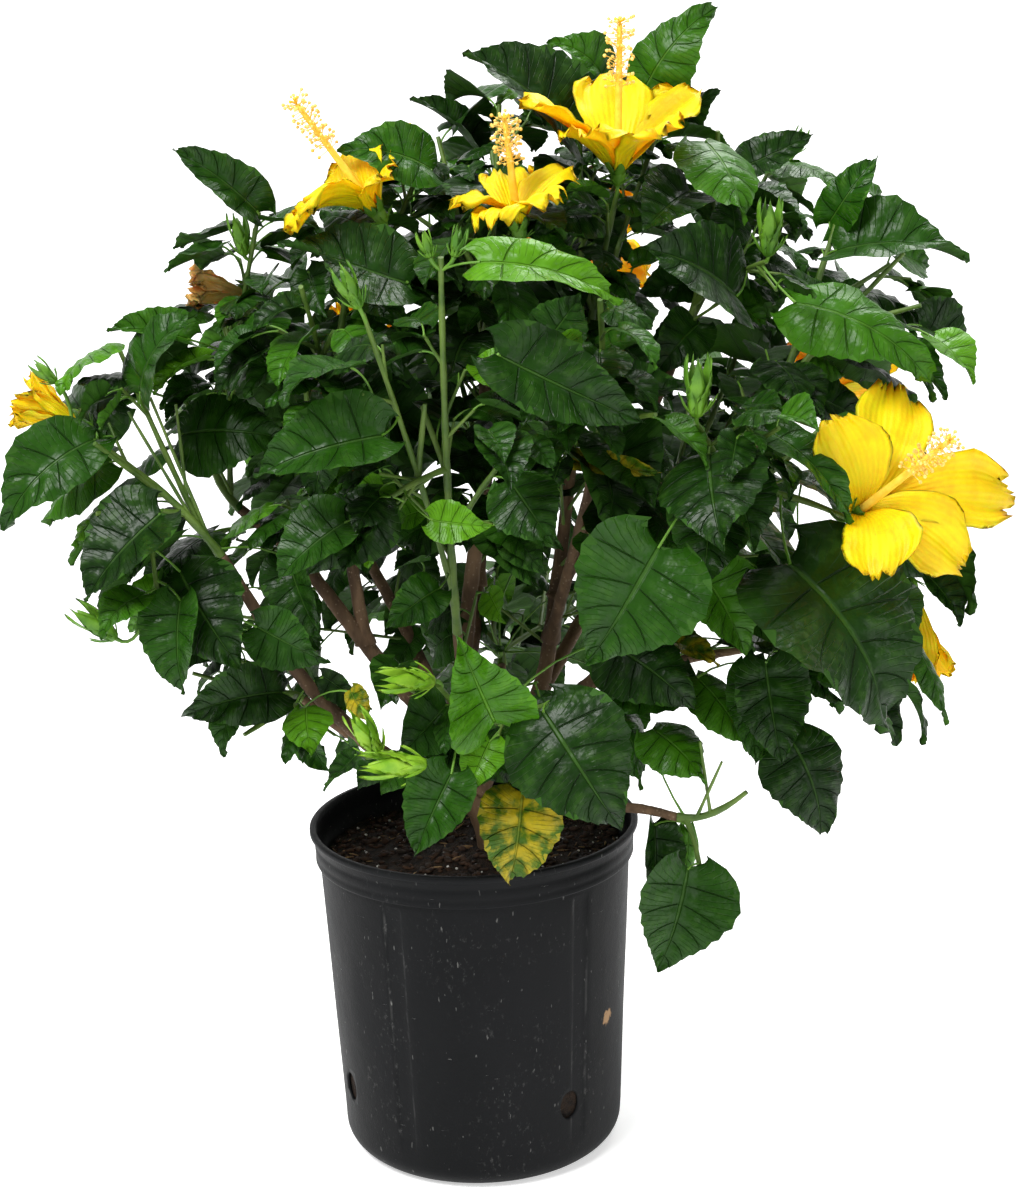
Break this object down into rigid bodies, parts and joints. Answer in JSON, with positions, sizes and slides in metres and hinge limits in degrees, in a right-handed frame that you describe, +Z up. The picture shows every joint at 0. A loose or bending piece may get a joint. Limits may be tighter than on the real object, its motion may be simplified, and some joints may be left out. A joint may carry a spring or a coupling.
{
  "type": "potted hibiscus shrub",
  "caption": "Bushy hibiscus shrub with golden blooms and buds, standing in a round black nursery pot of soil.",
  "frame": {"origin": "centre of the pot's flat underside", "axes": "+Z up, the pictured front of the shrub looks along -Y, +X to its right"},
  "size_m": [0.7296, 0.5776, 0.902],
  "materials": {
    "pot_plastic": "black plastic, dusty and lightly scratched",
    "soil": "dark moist bark mix with pale specks",
    "bark": "thin tan-brown bark",
    "foliage": "glossy dark green leaves on green twigs",
    "blossom": "soft golden yellow petals"
  },
  "bodies": {
    "root": {"nursery_pot": "pot_plastic", "potting_soil": "soil", "trunk": "bark", "bough_left_arm": "bark", "bough_left_mid": "bark", "bough_left_upper": "bark", "bough_low_left": "bark", "bough_front": "bark", "bough_front_low": "bark", "bough_top_left": "bark", "bough_top": "bark", "bough_top_right": "bark", "bough_centre": "bark", "bough_right": "bark", "bough_right_upper": "bark", "bough_right_low": "bark", "bough_low_right": "bark", "bough_back_left": "bark", "bough_back": "bark", "bough_back_top": "bark", "bough_back_right": "bark", "bough_back_low": "bark", "foliage_left_arm": "foliage", "foliage_left_mid": "foliage", "foliage_left_upper": "foliage", "foliage_low_left": "foliage", "foliage_front": "foliage", "foliage_front_low": "foliage", "foliage_top_left": "foliage", "foliage_top": "foliage", "foliage_top_right": "foliage", "foliage_centre": "foliage", "foliage_right": "foliage", "foliage_right_upper": "foliage", "foliage_right_low": "foliage", "foliage_low_right": "foliage", "foliage_back_left": "foliage", "foliage_back": "foliage", "foliage_back_top": "foliage", "foliage_back_right": "foliage", "foliage_back_low": "foliage"}
  },
  "joints": []
}
